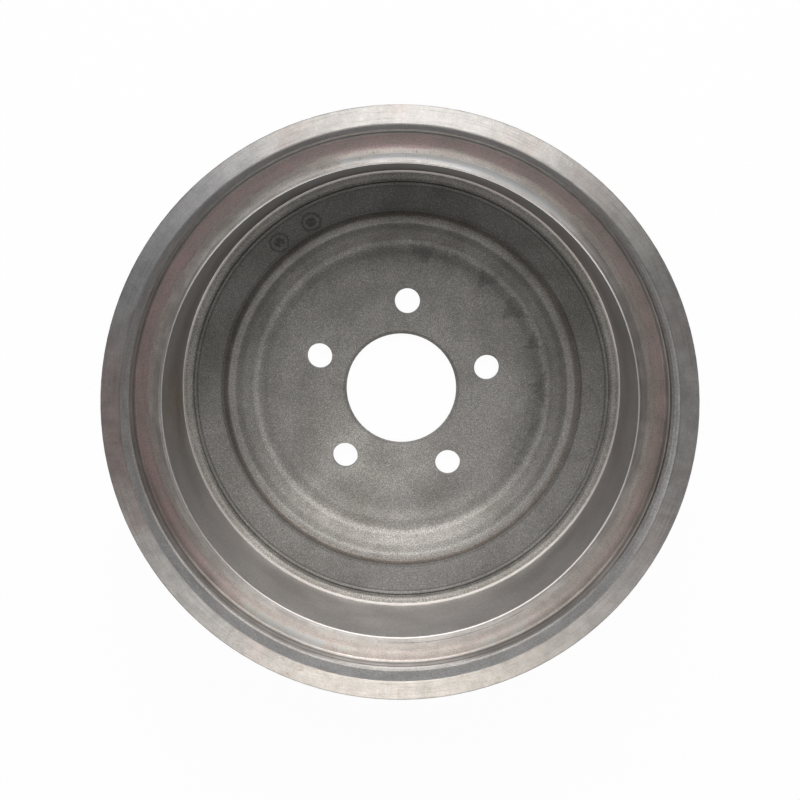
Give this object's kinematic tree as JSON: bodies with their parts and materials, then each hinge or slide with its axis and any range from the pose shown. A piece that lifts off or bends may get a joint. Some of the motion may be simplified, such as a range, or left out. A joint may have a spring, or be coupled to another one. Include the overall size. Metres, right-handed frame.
{
  "type": "brake drum",
  "caption": "Cast iron brake drum: deep turned friction bore, stepped open rim with a shield groove, dished web with a pilot bore and a ring of stud holes.",
  "frame": {"origin": "centre of the pilot bore on the outer face of the web, the face that the wheel bears on, which is also the middle of the underside", "axes": "+Z along the drum's axis, out of the open side; +Y through the centre of one stud hole; +X completes the right-handed frame"},
  "size_m": [0.342, 0.342, 0.1225],
  "materials": {
    "cast_iron": "bare grey iron, as cast on the web and back, turned bright on the rim and friction bore"
  },
  "bodies": {
    "root": {"brake_drum": "cast_iron"}
  },
  "joints": []
}
